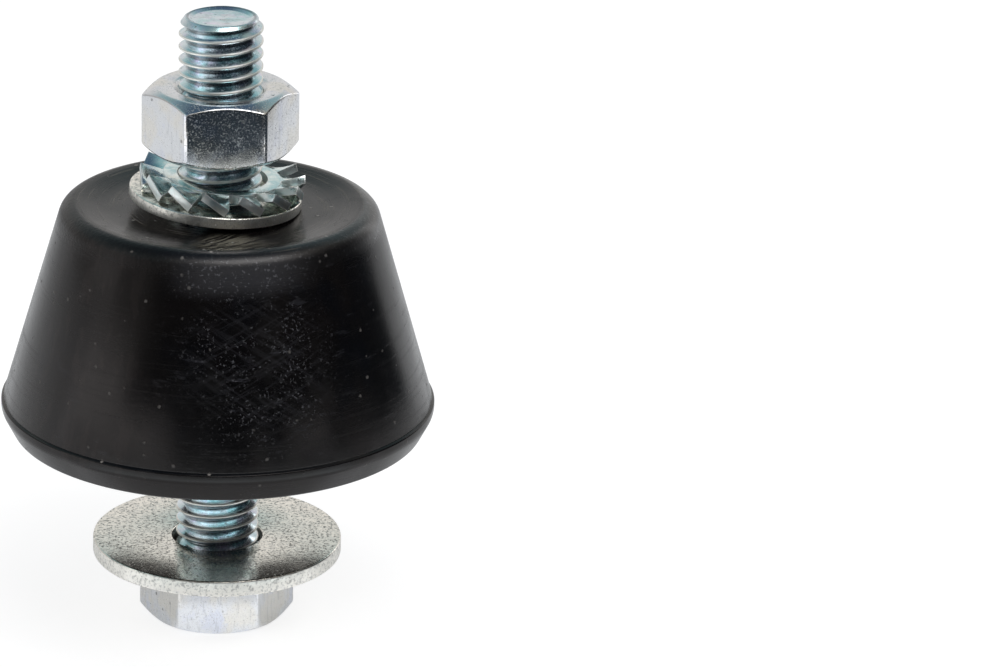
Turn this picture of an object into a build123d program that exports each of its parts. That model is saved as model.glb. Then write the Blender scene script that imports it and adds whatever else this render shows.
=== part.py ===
from build123d import *
import os
from math import cos, radians, sin, tan

# A conical rubber bobbin mount with a threaded stud at each end, standing on its lower nut.
# Lengths are millimetres and angles are degrees.
# The origin is the centre of the lower nut's end face, and +Z runs up along both studs.

# Threaded studs, metric coarse size 8, drawn plain at the crests of the thread
thread_radius = 3.985
stud_protrusion = 18.4
stud_end_chamfer = 0.85
stud_head_radius = 6.5
stud_head_thickness = 3.0

# Rubber body, from its foot ring up over the lip and the cone to the dished crown
rubber_height = 22.6
cone_base_radius = 20.52
crown_radius = 14.9
lip_step = 0.24
foot_bevel = 1.16
foot_bevel_height = 2.2
lip_height = 0.75
lip_slope_height = 0.25
shoulder_cut = 0.75
rim_width = 1.6
dish_slope_width = 2.8
dish_depth = 0.5

# Steel plates moulded into the two ends of the rubber, and the rubber that covers them
base_plate_wall = 3.02
base_plate_thickness = 2.5
base_cover = 1.5
top_plate_wall = 3.4
top_plate_thickness = 2.0
top_cover = 1.5

# Hexagon nuts, one on each stud
nut_across_flats = 13.0
nut_height = 6.4
nut_face_margin = 0.43
nut_chamfer_angle = 30.0
nut_countersink = 0.465
thread_clearance = 0.05
nut_overhang = 1.0
lower_nut_turn = 1.5
top_nut_turn = 4.4
top_nut_gap = 5.2

# Wide flat washer that lies on the lower nut
wide_washer_radius = 12.0
wide_washer_play = 0.365
wide_washer_thickness = 1.6

# Plain washer that lies askew on the crown, its hole against the thread
flat_washer_radius = 8.2
flat_washer_play = 0.515
flat_washer_side_clearance = 0.065
flat_washer_thickness = 1.1
flat_washer_tilt = 4.5

# Lock washer with twisted outer teeth, lying on the plain washer
lock_washer_play = 0.315
lock_washer_side_clearance = 0.115
lock_ring_width = 1.3
lock_thickness = 0.8
tooth_count = 14
tooth_length = 2.15
tooth_root_width = 2.1
tooth_tip_width = 2.7
tooth_twist = 31.0
tooth_root_inset = 0.3
tooth_root_relief = 0.1
tooth_steps = 3

# Clearance left under a washer that only lies on something
seat_clearance = 0.02

# Levels along the axis, worked out from the sizes above
wide_washer_z = nut_height
base_z = nut_overhang + stud_protrusion
crown_z = base_z + rubber_height
dish_floor_z = crown_z - dish_depth
base_plate_z = base_z + base_cover
base_plate_top_z = base_plate_z + base_plate_thickness
top_plate_z = dish_floor_z - top_cover - top_plate_thickness
top_nut_z = crown_z + top_nut_gap

# Radii, worked out from the sizes above
lip_radius = cone_base_radius + lip_step
base_plate_radius = cone_base_radius - base_plate_wall
top_plate_radius = crown_radius - top_plate_wall
lock_hole_radius = thread_radius + lock_washer_play
lock_ring_radius = lock_hole_radius + lock_ring_width


def turned(outline):
    """Solid of revolution about Z from a closed outline of (radius, height) points."""
    return revolve(Plane.XZ * make_face(Polyline(outline, close=True)), Axis.Z)


def eased(face, corner, cut):
    """The face with the corner at (radius, height) cut back, and the two new corners cut again."""
    spot = Vector(*corner)
    face = chamfer(face.vertices().sort_by_distance(spot)[0], cut)
    return chamfer(face.vertices().sort_by_distance(spot)[:2], cut / 2)


def headed_stud(grip):
    """Stud standing on z = 0, with its round head below and its shank through the grip."""
    length = grip + stud_protrusion
    return turned([
        (0, -stud_head_thickness),
        (stud_head_radius, -stud_head_thickness),
        (stud_head_radius, 0),
        (thread_radius, 0),
        (thread_radius, length - stud_end_chamfer),
        (thread_radius - stud_end_chamfer, length),
        (0, length),
    ])


def ring_plate(radius, hole_radius, thickness):
    """Flat ring on z = 0."""
    return turned([(hole_radius, 0), (radius, 0), (radius, thickness), (hole_radius, thickness)])


def hexagon_nut():
    """Nut on z = 0 with both faces chamfered, countersunk at both ends of its hole."""
    corner_radius = nut_across_flats / 2 / cos(radians(30))
    face_radius = nut_across_flats / 2 - nut_face_margin
    drop = (corner_radius - face_radius) * tan(radians(nut_chamfer_angle))
    hole_radius = thread_radius + thread_clearance
    mouth_radius = hole_radius + nut_countersink
    prism = extrude(RegularPolygon(nut_across_flats / 2, 6, major_radius=False), nut_height)
    barrel = turned([
        (0, 0),
        (face_radius, 0),
        (corner_radius, drop),
        (corner_radius, nut_height - drop),
        (face_radius, nut_height),
        (0, nut_height),
    ])
    hole = turned([
        (0, 0),
        (mouth_radius, 0),
        (hole_radius, nut_countersink),
        (hole_radius, nut_height - nut_countersink),
        (mouth_radius, nut_height),
        (0, nut_height),
    ])
    return (prism & barrel) - hole


def tooth_section(share):
    """The four corners of a tooth along +X, at a share of its length out from the root."""
    lean = radians(tooth_twist * share)
    root_reach = lock_ring_radius - tooth_root_inset
    root_thickness = lock_thickness - tooth_root_relief
    reach = root_reach + (tooth_root_inset + tooth_length) * share
    across = (tooth_root_width + (tooth_tip_width - tooth_root_width) * share) / 2
    up = (root_thickness + (lock_thickness - root_thickness) * share) / 2
    corners = [(-across, -up), (across, -up), (across, up), (-across, up)]
    return [(reach, y * cos(lean) + z * sin(lean), z * cos(lean) - y * sin(lean)) for y, z in corners]


def twisted_tooth():
    """Solid of flat facets that widens and turns about its own length, step by step, to the tip."""
    sections = [tooth_section(step / tooth_steps) for step in range(tooth_steps + 1)]
    outlines = [sections[0], sections[-1]]
    for near, far in zip(sections, sections[1:]):
        for side in range(4):
            after = (side + 1) % 4
            if side < 2:
                outlines += [(near[side], near[after], far[after]), (near[side], far[after], far[side])]
            else:
                outlines += [(near[side], near[after], far[side]), (near[after], far[after], far[side])]
    return Solid(Shell([Face(Wire.make_polygon(outline)) for outline in outlines]))


def tooth_reach():
    """Height of a tooth's highest corner above the middle of the lock washer's ring."""
    lean = radians(tooth_twist)
    return tooth_tip_width / 2 * sin(lean) + lock_thickness / 2 * cos(lean)


def lock_washer():
    """Ring centred on z = 0 with its teeth spaced evenly round it."""
    ring = ring_plate(lock_ring_radius, lock_hole_radius, lock_thickness)
    blank = Pos(0, 0, -lock_thickness / 2) * ring
    tooth = twisted_tooth()
    for index in range(tooth_count):
        blank += Rot(0, 0, 360 / tooth_count * index) * tooth
    return blank


def rubber_blank():
    """The moulded outline before the plates and studs take their room in it."""
    lip_top = foot_bevel_height + lip_height
    rim_radius = crown_radius - rim_width
    outline = [
        (0, 0),
        (lip_radius - foot_bevel, 0),
        (lip_radius, foot_bevel_height),
        (lip_radius, lip_top),
        (cone_base_radius, lip_top + lip_slope_height),
        (crown_radius, rubber_height),
        (rim_radius, rubber_height),
        (rim_radius - dish_slope_width, rubber_height - dish_depth),
        (0, rubber_height - dish_depth),
    ]
    face = eased(make_face(Polyline(outline, close=True)), (crown_radius, rubber_height), shoulder_cut)
    return revolve(Plane.XZ * face, Axis.Z)


# Bonded mount: plates, studs and the rubber moulded round them
base_plate = Pos(0, 0, base_plate_z) * ring_plate(base_plate_radius, thread_radius, base_plate_thickness)
top_plate = Pos(0, 0, top_plate_z) * ring_plate(top_plate_radius, thread_radius, top_plate_thickness)
base_stud = Pos(0, 0, base_plate_top_z) * Rot(180, 0, 0) * headed_stud(base_plate_thickness + base_cover)
top_stud = Pos(0, 0, top_plate_z) * headed_stud(top_plate_thickness + top_cover + dish_depth)
rubber_body = Pos(0, 0, base_z) * rubber_blank() - [base_plate, top_plate, base_stud, top_stud]

# Nuts and the wide washer
nut = hexagon_nut()
lower_nut = Rot(0, 0, lower_nut_turn) * nut
top_nut = Pos(0, 0, top_nut_z) * Rot(0, 0, top_nut_turn) * nut
wide_washer = Pos(0, 0, wide_washer_z) * ring_plate(
    wide_washer_radius, thread_radius + wide_washer_play, wide_washer_thickness
)

# Loose washers on the crown: the low edge of the plain one rests on the dish's floor
tilt = radians(flat_washer_tilt)
flat_washer_z = dish_floor_z + flat_washer_radius * sin(tilt) + seat_clearance
flat_washer_shift = flat_washer_side_clearance - flat_washer_play
flat_washer_seat = Pos(flat_washer_shift, 0, flat_washer_z) * Rot(0, flat_washer_tilt, 0)
flat_washer = flat_washer_seat * ring_plate(
    flat_washer_radius, thread_radius + flat_washer_play, flat_washer_thickness
)
lock_lift = flat_washer_thickness + tooth_reach() + seat_clearance
lock_shift = lock_washer_play - lock_washer_side_clearance
lock_slide = (lock_shift - flat_washer_shift) / cos(tilt) - lock_lift * tan(tilt)
tooth_lock_washer = flat_washer_seat * Pos(lock_slide, 0, lock_lift) * lock_washer()

pieces = {
    "rubber_body": rubber_body,
    "base_plate": base_plate,
    "base_stud": base_stud,
    "top_plate": top_plate,
    "top_stud": top_stud,
    "flat_washer": flat_washer,
    "tooth_lock_washer": tooth_lock_washer,
    "top_nut": top_nut,
    "wide_washer": wide_washer,
    "lower_nut": lower_nut,
}

os.makedirs("parts", exist_ok=True)
for name, shape in pieces.items():
    export_step(shape, f"parts/{name}.step")
    box = shape.bounding_box()
    print(name, round(shape.volume, 2), "mm3, z", round(box.min.Z, 2), "to", round(box.max.Z, 2))
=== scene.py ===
# %% [markdown]
# # A conical rubber mount, dressed around its CAD frame
# The imported model gives every node its true size and place. This script keeps those sizes and
# models the pieces again with the detail that a camera sees: rolled threads, eased edges, twisted
# teeth and the finish of zinc and rubber. It starts by loading the frame and listing its nodes.

# %% Load the frame
import math

import bmesh
import bpy
from mathutils import Matrix, Vector


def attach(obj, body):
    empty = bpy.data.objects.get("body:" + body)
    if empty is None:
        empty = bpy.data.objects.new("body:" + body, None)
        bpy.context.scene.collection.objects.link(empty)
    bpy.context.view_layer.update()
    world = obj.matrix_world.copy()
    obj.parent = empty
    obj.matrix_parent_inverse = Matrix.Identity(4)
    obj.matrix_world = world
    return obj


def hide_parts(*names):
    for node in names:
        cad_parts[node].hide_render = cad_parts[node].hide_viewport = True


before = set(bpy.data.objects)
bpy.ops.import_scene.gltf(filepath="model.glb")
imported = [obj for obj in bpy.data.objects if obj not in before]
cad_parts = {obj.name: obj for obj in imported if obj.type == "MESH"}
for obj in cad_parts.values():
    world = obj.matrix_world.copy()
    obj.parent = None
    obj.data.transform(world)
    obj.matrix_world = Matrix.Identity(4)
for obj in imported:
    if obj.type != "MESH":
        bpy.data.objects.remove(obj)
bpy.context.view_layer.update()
MM = 0.001
print("nodes", sorted(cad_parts))

# %% [markdown]
# Every operator acts on whatever is selected, so each step begins by choosing one object alone.
# A round piece is drawn as half of its section, a chain of points from the axis outwards, and
# spun about Z. Drawing it point by point keeps each radius and height a real size in millimetres,
# with heights measured up from the floor.

# %% Helpers for choosing, drawing and spinning
MERGE_DISTANCE = 0.0005


def choose(piece):
    """Select one object alone and make it active."""
    bpy.ops.object.select_all(action="DESELECT")
    piece.select_set(True)
    bpy.context.view_layer.objects.active = piece


def edit_all(piece):
    """Open one object in edit mode with all of it selected."""
    choose(piece)
    bpy.ops.object.mode_set(mode="EDIT")
    bpy.ops.mesh.select_all(action="SELECT")


def leave_edit():
    bpy.ops.object.mode_set(mode="OBJECT")


def add_plane(name, size):
    """A new square at the origin, which alone is selected; the size is in mm."""
    bpy.ops.object.select_all(action="DESELECT")
    bpy.ops.mesh.primitive_plane_add(size=size * MM, location=(0, 0, 0))
    piece = bpy.context.object
    piece.name = name
    return piece


def draw_chain(name, points):
    """A chain of edges through (radius, height) points in mm, in the XZ plane."""
    piece = add_plane(name, 1)
    edit_all(piece)
    bpy.ops.mesh.merge(type="CENTER")
    here = (0.0, 0.0)
    for index, (radius, height) in enumerate(points):
        step = ((radius - here[0]) * MM, 0, (height - here[1]) * MM)
        if index == 0:
            bpy.ops.transform.translate(value=step)
        else:
            bpy.ops.mesh.extrude_vertices_move(TRANSFORM_OT_translate={"value": step})
        here = (radius, height)
    leave_edit()
    return piece


def tidy_shell(piece):
    """Merge what lies together and point every face outwards."""
    edit_all(piece)
    bpy.ops.mesh.remove_doubles(threshold=MERGE_DISTANCE * MM)
    bpy.ops.mesh.normals_make_consistent(inside=False)
    leave_edit()


def spin(piece, steps):
    """Spin a drawn chain about Z into a closed piece."""
    edit_all(piece)
    bpy.ops.mesh.spin(steps=steps, angle=2 * math.pi, center=(0, 0, 0), axis=(0, 0, 1))
    leave_edit()
    tidy_shell(piece)


def turn(name, points, steps):
    """Draw a chain of points and spin it."""
    piece = draw_chain(name, points)
    spin(piece, steps)
    return piece


def report(piece):
    """Print a piece's number of faces and of open edges, and its volume."""
    mesh = bmesh.new()
    mesh.from_mesh(piece.data)
    loose = sum(1 for edge in mesh.edges if not edge.is_manifold)
    print(piece.name, len(mesh.faces), "faces,", loose, "open edges, volume",
          round(mesh.calc_volume(signed=True) * 1e9, 1), "mm3")
    mesh.free()


# %% [markdown]
# Edges on real hardware are never sharp: a small bevel catches the light as a thin bright line.
# The Bevel modifier rounds every edge that turns by more than a set angle, and it is applied so
# that the roundness is part of the mesh. Smooth shading by angle then keeps the flats flat.

# %% Helpers for modifiers and shading


def apply_last(piece):
    """Apply the newest modifier of a piece."""
    choose(piece)
    bpy.ops.object.modifier_apply(modifier=piece.modifiers[-1].name)


def ease_edges(piece, width, angle, segments=2):
    """Round the edges that turn by more than an angle in degrees; the width is in mm."""
    choose(piece)
    bpy.ops.object.modifier_add(type="BEVEL")
    bevel = piece.modifiers[-1]
    bevel.width = width * MM
    bevel.segments = segments
    bevel.limit_method = "ANGLE"
    bevel.angle_limit = math.radians(angle)
    bevel.miter_outer = "MITER_ARC"
    apply_last(piece)


def shade(piece, angle):
    """Smooth shading, but for edges that turn by more than an angle in degrees."""
    choose(piece)
    bpy.ops.object.shade_smooth_by_angle(angle=math.radians(angle))


def combine(piece, other, operation):
    """Boolean one piece with another, which is used up."""
    choose(piece)
    bpy.ops.object.modifier_add(type="BOOLEAN")
    cut = piece.modifiers[-1]
    cut.operation = operation
    cut.solver = "EXACT"
    cut.object = other
    apply_last(piece)
    choose(other)
    bpy.ops.object.delete()


def copy_of(piece, name):
    """A copy with its own mesh."""
    choose(piece)
    bpy.ops.object.duplicate(linked=False)
    twin = bpy.context.object
    twin.name = name
    return twin


def settle(piece, turn_by=(0, 0, 0), move_by=(0, 0, 0)):
    """Turn in degrees, then move in mm, and write the place into the mesh."""
    choose(piece)
    piece.rotation_euler = [math.radians(value) for value in turn_by]
    piece.location = [value * MM for value in move_by]
    bpy.ops.object.transform_apply(location=True, rotation=True, scale=True)


# %% [markdown]
# ## The rolled thread
# A rolled metric thread has flats on its crests, 60 degree flanks and rounded roots. One pitch of
# that outline is drawn, and the Screw modifier winds it up the stud. Both ends are then cut
# square with bisect, which also fills them, so that the thread is a closed body.

# %% Wind a thread
PITCH = 1.25
CREST = 3.985
ROOT = 3.2
THREAD_STEPS = 72
SPARE_TURNS = 3
WELD_DISTANCE = 0.001
CUT_TOLERANCE = 0.0001


def thread_outline(growth):
    """One pitch of the thread from the middle of a crest to the next, as (radius, height)."""
    crest = [(CREST, 0), (CREST, 0.06), (CREST - 0.035, 0.098)]
    root = [(ROOT + 0.1, 0.49), (ROOT + 0.03, 0.545), (ROOT, PITCH / 2)]
    falling = crest + root
    rising = [(radius, PITCH - height) for radius, height in reversed(falling[:-1])]
    return [(radius + growth, height) for radius, height in falling + rising]


def wind_thread(name, bottom, top, phase, growth=0.0):
    """A threaded rod from one height to another, turned by a phase in degrees and grown in mm."""
    turns = math.ceil((top - bottom) / PITCH) + SPARE_TURNS
    piece = draw_chain(name, thread_outline(growth))
    choose(piece)
    bpy.ops.object.modifier_add(type="SCREW")
    screw = piece.modifiers[-1]
    screw.axis = "Z"
    screw.angle = 2 * math.pi
    screw.screw_offset = PITCH * MM
    screw.iterations = turns
    screw.steps = THREAD_STEPS
    screw.render_steps = THREAD_STEPS
    screw.use_merge_vertices = True
    screw.merge_threshold = WELD_DISTANCE * MM
    apply_last(piece)
    settle(piece, (0, 0, phase), (0, 0, bottom - SPARE_TURNS / 2 * PITCH))
    for height, up in ((bottom, -1), (top, 1)):
        edit_all(piece)
        bpy.ops.mesh.bisect(plane_co=(0, 0, height * MM), plane_no=(0, 0, up),
                            use_fill=True, clear_outer=True, threshold=CUT_TOLERANCE * MM)
        leave_edit()
    tidy_shell(piece)
    return piece


# %% [markdown]
# ## Studs
# Each stud is one forged piece: a round head buried behind a plate, and a threaded shank whose
# end is chamfered down to the root of the thread, with a shallow cup left by the cutting. The
# chamfer is cut by keeping only what lies inside a turned blank. Both studs are the same piece,
# and the lower one points down. Each has a phase, so that its thread lies as in the photograph.

# %% Model the studs
STUD_END = 60.4
HEAD_TOP = 38.0
HEAD_RADIUS = 6.5
HEAD_HEIGHT = 3.0
THREAD_START = HEAD_TOP - 1.5
END_SPARE = 0.4
END_RIM = 3.4
END_CHAMFER = 0.85
CUP_RIM = 3.2
CUP_FLOOR = 2.75
CUP_DEPTH = 0.24
BLANK_MARGIN = 0.6
BASE_HEAD_TOP = 23.4
TOP_PHASE = 85.0
BASE_PHASE = 295.0


def threaded_stud(name, phase):
    """The upper stud in its place, with its thread turned by a phase in degrees."""
    piece = wind_thread(name, THREAD_START, STUD_END + END_SPARE, phase)
    reach = CREST + BLANK_MARGIN
    slope = END_CHAMFER / (CREST - END_RIM)
    blank = turn("blank", [
        (0, HEAD_TOP - HEAD_HEIGHT),
        (reach, HEAD_TOP - HEAD_HEIGHT),
        (reach, STUD_END - (reach - END_RIM) * slope),
        (END_RIM, STUD_END),
        (CUP_RIM, STUD_END),
        (CUP_FLOOR, STUD_END - CUP_DEPTH),
        (0, STUD_END - CUP_DEPTH),
    ], THREAD_STEPS)
    ease_edges(blank, width=0.06, angle=20)
    combine(piece, blank, "INTERSECT")
    head = turn("head", [
        (0, HEAD_TOP - HEAD_HEIGHT),
        (HEAD_RADIUS, HEAD_TOP - HEAD_HEIGHT),
        (HEAD_RADIUS, HEAD_TOP),
        (0, HEAD_TOP),
    ], THREAD_STEPS)
    combine(piece, head, "UNION")
    tidy_shell(piece)
    return piece


def point_down(piece):
    """Turn a piece made for the upper stud over, on to the place of the lower one."""
    settle(piece, (180, 0, 0), (0, 0, HEAD_TOP + BASE_HEAD_TOP))


top_stud = threaded_stud("top_stud_threaded", TOP_PHASE)
base_stud = threaded_stud("base_stud_threaded", BASE_PHASE)
point_down(base_stud)
for stud in (top_stud, base_stud):
    shade(stud, 28)
    report(stud)

# %% [markdown]
# ## Nuts
# A hexagon nut is a turned ring whose outer wall is pulled out to a hexagon: the chamfer stays a
# true cone, and meets each flat in the curve that a real nut shows. The thread is cut by taking
# away a slightly larger rod wound at the same phase as the stud, so that the two run together.

# %% Model the nuts
ACROSS_FLATS = 13.0
NUT_HEIGHT = 6.4
FACE_RADIUS = 6.07
MOUTH_RADIUS = 4.5
BORE_RADIUS = 3.34
TAP_GROWTH = 0.045
CORNER_ROUND = 0.45
CORNER_RADIUS = ACROSS_FLATS / 2 / math.cos(math.radians(30))
CHAMFER_SLOPE = math.tan(math.radians(30))
NUT_STEPS = 288
WALL_TOLERANCE = 0.01


def hexagon_reach(angle):
    """Distance from the axis to the wall of a hexagon with rounded corners and flats on Y."""
    sixth = math.radians(60)
    flat = ACROSS_FLATS / 2
    off_flat = (angle % sixth) - sixth / 2
    off_corner = sixth / 2 - abs(off_flat)
    middle = (flat - CORNER_ROUND) / math.cos(sixth / 2)
    if math.tan(abs(off_flat)) * flat < middle * math.sin(sixth / 2):
        return flat / math.cos(off_flat)
    aside = middle * math.sin(off_corner)
    return middle * math.cos(off_corner) + math.sqrt(CORNER_ROUND ** 2 - aside ** 2)


def nut_blank(name):
    """The nut from z = 0 upwards, with a plain hole."""
    drop = (CORNER_RADIUS - FACE_RADIUS) * CHAMFER_SLOPE
    depth = MOUTH_RADIUS - BORE_RADIUS
    piece = turn(name, [
        (BORE_RADIUS, depth),
        (MOUTH_RADIUS, 0),
        (FACE_RADIUS, 0),
        (CORNER_RADIUS, drop),
        (CORNER_RADIUS, NUT_HEIGHT - drop),
        (FACE_RADIUS, NUT_HEIGHT),
        (MOUTH_RADIUS, NUT_HEIGHT),
        (BORE_RADIUS, NUT_HEIGHT - depth),
        (BORE_RADIUS, depth),
    ], NUT_STEPS)
    edit_all(piece)
    mesh = bmesh.from_edit_mesh(piece.data)
    for vertex in mesh.verts:
        if vertex.co.xy.length > (CORNER_RADIUS - WALL_TOLERANCE) * MM:
            angle = math.atan2(vertex.co.y, vertex.co.x)
            reach = hexagon_reach(angle)
            height = (reach - FACE_RADIUS) * CHAMFER_SLOPE
            if vertex.co.z > NUT_HEIGHT / 2 * MM:
                height = NUT_HEIGHT - height
            vertex.co = Vector((reach * math.cos(angle), reach * math.sin(angle), height)) * MM
    bmesh.update_edit_mesh(piece.data)
    leave_edit()
    return piece


def tapped_nut(name, bottom, turned, rod):
    """A nut at a height, turned in degrees, its thread cut by the rod."""
    piece = nut_blank(name)
    ease_edges(piece, width=0.15, angle=25, segments=3)
    settle(piece, (0, 0, turned), (0, 0, bottom))
    combine(piece, rod, "DIFFERENCE")
    shade(piece, 30)
    report(piece)
    return piece


TOP_NUT_BOTTOM = 47.2
TOP_NUT_TURN = 4.4
LOWER_NUT_TURN = 1.5
TAP_END = STUD_END + 3
tap = wind_thread("tap", THREAD_START, TAP_END, TOP_PHASE, TAP_GROWTH)
top_nut = tapped_nut("top_nut_tapped", TOP_NUT_BOTTOM, TOP_NUT_TURN, tap)
tap = wind_thread("tap", THREAD_START, TAP_END, BASE_PHASE, TAP_GROWTH)
point_down(tap)
lower_nut = tapped_nut("lower_nut_tapped", 0, LOWER_NUT_TURN, tap)

# %% [markdown]
# ## Washers
# Washers are punched from sheet and tumbled, so that all their edges are a little round. The
# plain washer lies askew: its hole rests against the thread and its low edge on the floor of the
# dish.

# %% Model the flat washers
WASHER_TILT = 4.5
FLAT_RADIUS = 8.2
FLAT_HOLE = 4.5
FLAT_THICKNESS = 1.1
FLAT_SHIFT = -0.45
FLAT_EASING = 0.16
WIDE_RADIUS = 12.0
WIDE_HOLE = 4.35
WIDE_THICKNESS = 1.6
WIDE_EASING = 0.2
WASHER_STEPS = 192
DISH_FLOOR = 41.5
SEAT = 0.02


def washer(name, radius, hole, thickness, easing):
    """A washer from z = 0 upwards, with its edges eased by some mm."""
    section = [(hole, 0), (radius, 0), (radius, thickness), (hole, thickness), (hole, 0)]
    piece = turn(name, section, WASHER_STEPS)
    ease_edges(piece, width=easing, angle=40, segments=3)
    shade(piece, 30)
    return piece


flat_lift = DISH_FLOOR + FLAT_RADIUS * math.sin(math.radians(WASHER_TILT)) + SEAT
flat_washer = washer("flat_washer_punched", FLAT_RADIUS, FLAT_HOLE, FLAT_THICKNESS, FLAT_EASING)
settle(flat_washer, (0, WASHER_TILT, 0), (FLAT_SHIFT, 0, flat_lift))
wide_washer = washer("wide_washer_punched", WIDE_RADIUS, WIDE_HOLE, WIDE_THICKNESS, WIDE_EASING)
settle(wide_washer, move_by=(0, 0, NUT_HEIGHT))
report(flat_washer)
report(wide_washer)

# %% [markdown]
# ## The toothed lock washer
# Its teeth are sheared from the rim of a spring steel ring and twisted, so that one corner of each
# stands high and the other bites into the washer below. A tooth starts as a small upright face and
# is extruded outwards in steps, each a little wider and turned further about the tooth's own
# length. It is modelled once, copied round the ring and joined to it.

# %% Model one tooth
RING_HOLE = 4.3
RING_RADIUS = 5.6
STOCK = 0.8
ROOT_STOCK = STOCK - 0.1
TOOTH_COUNT = 14
TOOTH_TIP = 7.75
TOOTH_ROOT = 5.3
ROOT_WIDTH = 2.1
TIP_WIDTH = 2.7
TOOTH_TWIST = 31
TOOTH_STEPS = 6
RING_STEPS = 8 * TOOTH_COUNT


def twisted_tooth(name):
    """One tooth along X, extruded outwards step by step from its root."""
    piece = add_plane(name, 1)
    edit_all(piece)
    bpy.ops.transform.resize(value=(ROOT_STOCK, ROOT_WIDTH, 1))
    bpy.ops.transform.rotate(value=math.radians(90), orient_axis="Y", center_override=(0, 0, 0))
    bpy.ops.transform.translate(value=(TOOTH_ROOT * MM, 0, 0))
    step = (TOOTH_TIP - TOOTH_ROOT) / TOOTH_STEPS
    widen = (TIP_WIDTH / ROOT_WIDTH) ** (1 / TOOTH_STEPS)
    thicken = (STOCK / ROOT_STOCK) ** (1 / TOOTH_STEPS)
    grow = Matrix.Diagonal((1, widen, thicken, 1))
    share = math.radians(TOOTH_TWIST / TOOTH_STEPS)
    for index in range(TOOTH_STEPS):
        bpy.ops.mesh.extrude_region_move(TRANSFORM_OT_translate={"value": (step * MM, 0, 0)})
        mesh = bmesh.from_edit_mesh(piece.data)
        untwist = Matrix.Rotation(share * index, 4, "X")
        twist = Matrix.Rotation(-share * (index + 1), 4, "X")
        for vertex in mesh.verts:
            if vertex.select:
                vertex.co = twist @ grow @ untwist @ vertex.co
        bmesh.update_edit_mesh(piece.data)
    leave_edit()
    tidy_shell(piece)
    return piece


tooth = twisted_tooth("tooth")
report(tooth)

# %% Copy the tooth round the ring
lock_washer = turn("lock_washer_toothed", [
    (RING_HOLE, -STOCK / 2),
    (RING_RADIUS, -STOCK / 2),
    (RING_RADIUS, STOCK / 2),
    (RING_HOLE, STOCK / 2),
    (RING_HOLE, -STOCK / 2),
], RING_STEPS)
teeth = []
for index in range(TOOTH_COUNT):
    twin = copy_of(tooth, f"tooth_{index}")
    settle(twin, (0, 0, 360 / TOOTH_COUNT * index))
    teeth.append(twin)
bpy.ops.object.select_all(action="DESELECT")
for twin in teeth:
    twin.select_set(True)
bpy.context.view_layer.objects.active = teeth[0]
bpy.ops.object.join()
combine(lock_washer, teeth[0], "UNION")
choose(tooth)
bpy.ops.object.delete()

# %% Seat the lock washer on the plain one
LOCK_TURN = 8.0
LOCK_SHIFT = 0.2
lean = math.radians(TOOTH_TWIST)
tooth_reach = TIP_WIDTH / 2 * math.sin(lean) + STOCK / 2 * math.cos(lean)
lock_lift = FLAT_THICKNESS + tooth_reach + SEAT
tilt = math.radians(WASHER_TILT)
lock_slide = (LOCK_SHIFT - FLAT_SHIFT) / math.cos(tilt) - lock_lift * math.tan(tilt)
ease_edges(lock_washer, width=0.14, angle=38, segments=3)
settle(lock_washer, (0, 0, LOCK_TURN), (lock_slide, 0, lock_lift))
settle(lock_washer, (0, WASHER_TILT, 0), (FLAT_SHIFT, 0, flat_lift))
shade(lock_washer, 34)
report(lock_washer)

# %% [markdown]
# ## The rubber body
# The body is moulded, so it is one turned outline: a foot ring, a bevel out to a thin lip, the
# cone, a round shoulder and a raised rim round a shallow dish. Corners are rounded on the drawn
# outline itself, vertex by vertex, before it is spun.

# %% Model the rubber
BASE = 19.4
CROWN = 42.0
FOOT_RADIUS = 19.6
LIP_RADIUS = 20.76
CONE_BASE_RADIUS = 20.52
CROWN_RADIUS = 14.9
RIM_RADIUS = 13.3
DISH_RADIUS = 10.5
BEVEL_TOP = BASE + 2.2
LIP_TOP = BASE + 2.95
CONE_BASE = BASE + 3.2
RUBBER_STEPS = 192


def round_corner(piece, radius, height, size):
    """Round one corner of a drawn outline; the place and the size are in mm."""
    choose(piece)
    bpy.ops.object.mode_set(mode="EDIT")
    bpy.ops.mesh.select_all(action="DESELECT")
    mesh = bmesh.from_edit_mesh(piece.data)
    spot = Vector((radius, 0, height)) * MM
    nearest = min(mesh.verts, key=lambda vertex: (vertex.co - spot).length)
    nearest.select_set(True)
    mesh.select_flush_mode()
    bmesh.update_edit_mesh(piece.data)
    bpy.ops.mesh.bevel(offset=size * MM, segments=8, affect="VERTICES")
    leave_edit()


rubber = draw_chain("rubber_moulded", [
    (0, BASE),
    (FOOT_RADIUS, BASE),
    (LIP_RADIUS, BEVEL_TOP),
    (LIP_RADIUS, LIP_TOP),
    (CONE_BASE_RADIUS - 0.02, CONE_BASE - 0.1),
    (CONE_BASE_RADIUS, CONE_BASE),
    (CROWN_RADIUS, CROWN),
    (RIM_RADIUS, CROWN),
    (DISH_RADIUS, DISH_FLOOR),
    (0, DISH_FLOOR),
])
round_corner(rubber, FOOT_RADIUS, BASE, 0.3)
round_corner(rubber, LIP_RADIUS, BEVEL_TOP, 0.3)
round_corner(rubber, LIP_RADIUS, LIP_TOP, 0.08)
round_corner(rubber, CROWN_RADIUS, CROWN, 1.25)
round_corner(rubber, RIM_RADIUS, CROWN, 0.3)
round_corner(rubber, DISH_RADIUS, DISH_FLOOR, 1.0)
spin(rubber, RUBBER_STEPS)
shade(rubber, 30)
report(rubber)

# %% [markdown]
# ## Finishes
# A finish is a small network of shader nodes. Patterns are measured in millimetres on the piece
# itself: Object coordinates come in metres, so they are multiplied by 1000 first. A mask is a
# number from 0 to 1 that says where a mark shows, and masks are faded in and multiplied.

# %% Helpers for shader nodes


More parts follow.
